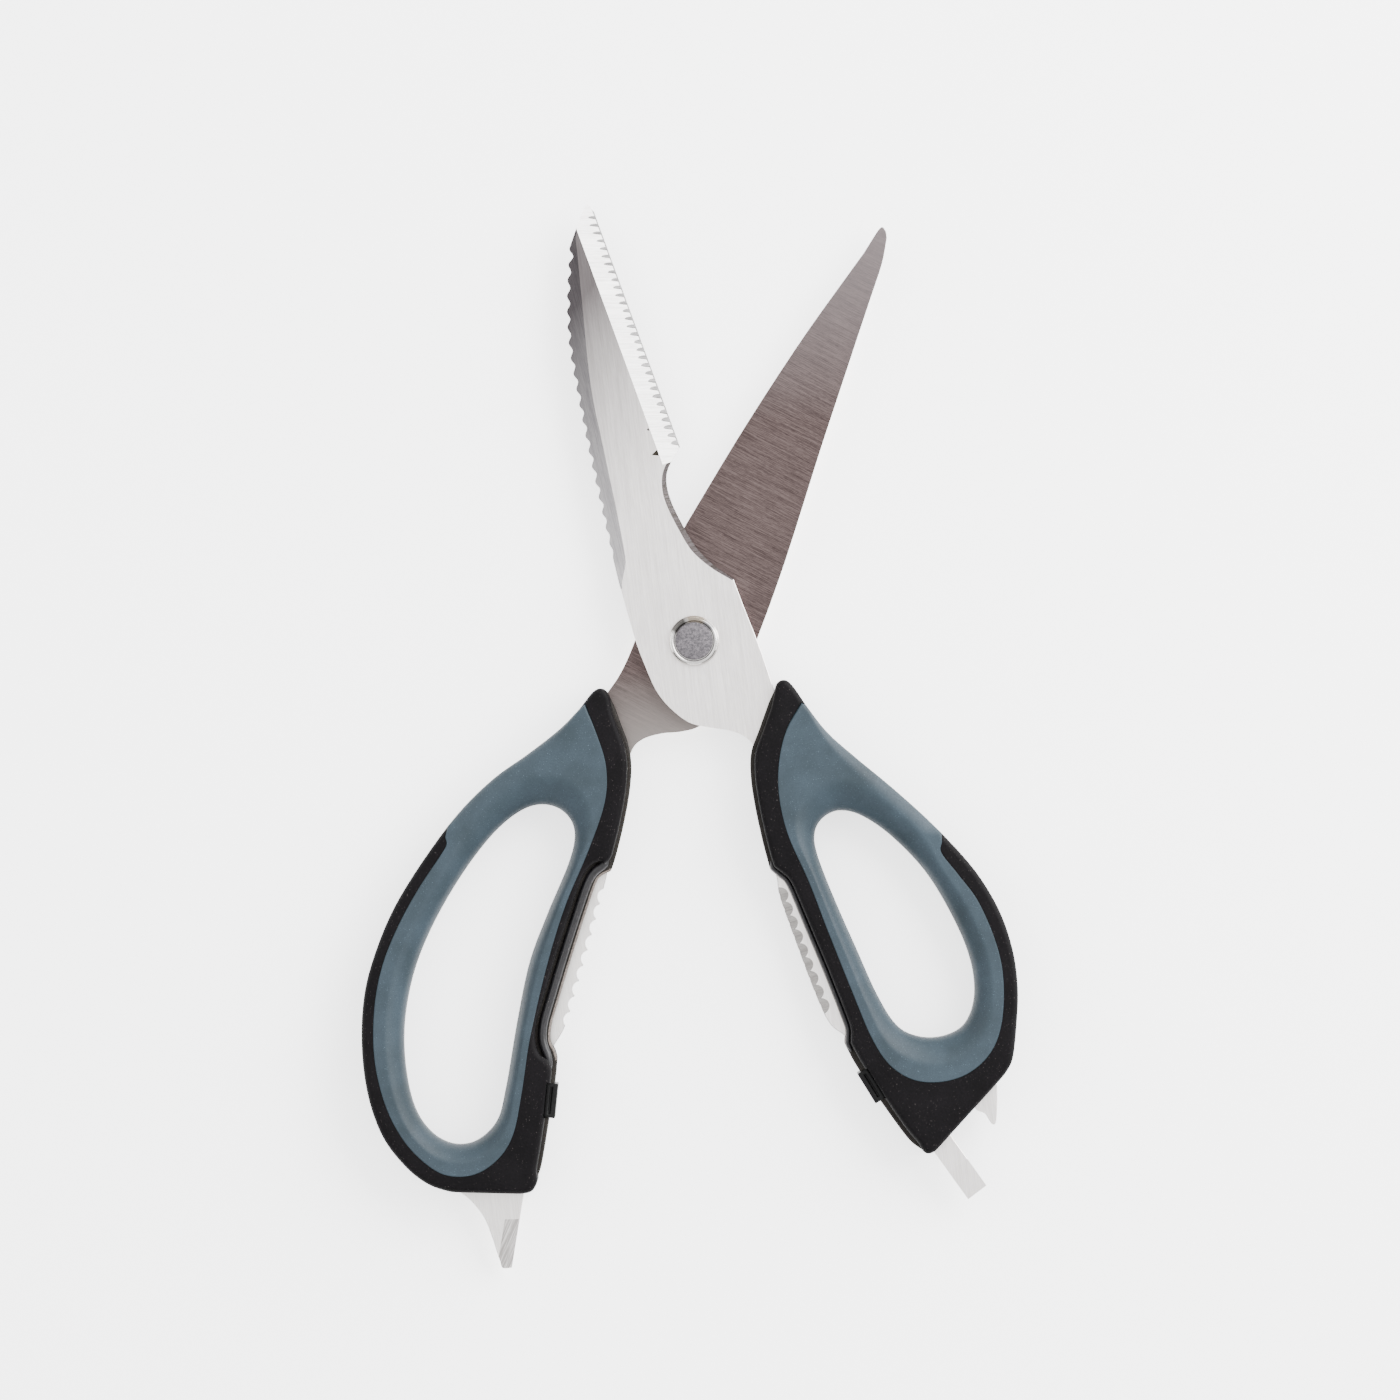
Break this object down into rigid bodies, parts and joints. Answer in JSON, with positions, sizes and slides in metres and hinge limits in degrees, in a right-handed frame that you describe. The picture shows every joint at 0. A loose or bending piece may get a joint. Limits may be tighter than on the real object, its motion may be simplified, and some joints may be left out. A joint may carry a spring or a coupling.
{
  "type": "utility shears",
  "caption": "Two-handled utility shears with a serrated scalloped blade, soft finger bows, gripping jaws and small tool ends on the handles.",
  "frame": {"origin": "on the pivot's axis, at the back face of the pivot sleeve's head", "axes": "+Z along the pivot's axis, from the back of the shears to the front; +Y towards the blade tips and +X to the right as the open shears lie in the picture"},
  "size_m": [0.1374, 0.2234, 0.0123],
  "materials": {
    "blade_steel": "brushed along the blades, with brighter ground edges",
    "pivot_steel": "polished ring and back head, matt bolt head",
    "core_black": "matt moulded plastic with a fine grain",
    "grip_blue_grey": "satin soft plastic",
    "pad_black": "smooth and slightly glossy",
    "washer_nylon": "plain moulded plastic, hidden in the pivot"
  },
  "bodies": {
    "rear_half": {"rear_blade": "blade_steel", "rear_core": "core_black", "rear_grip": "grip_blue_grey", "rear_stop_pad": "pad_black", "pivot_sleeve": "pivot_steel", "pivot_washer": "washer_nylon", "pivot_cup": "pivot_steel", "pivot_bolt": "pivot_steel"},
    "front_half": {"front_blade": "blade_steel", "front_core": "core_black", "front_grip": "grip_blue_grey", "front_stop_pad": "pad_black"}
  },
  "joints": [
    {"name": "pivot", "type": "hinge", "parent": "rear_half", "child": "front_half", "pos_m": [0, 0, 0.00495], "axis": [0, 0, 1], "range_deg": [-37.5, 55]}
  ]
}
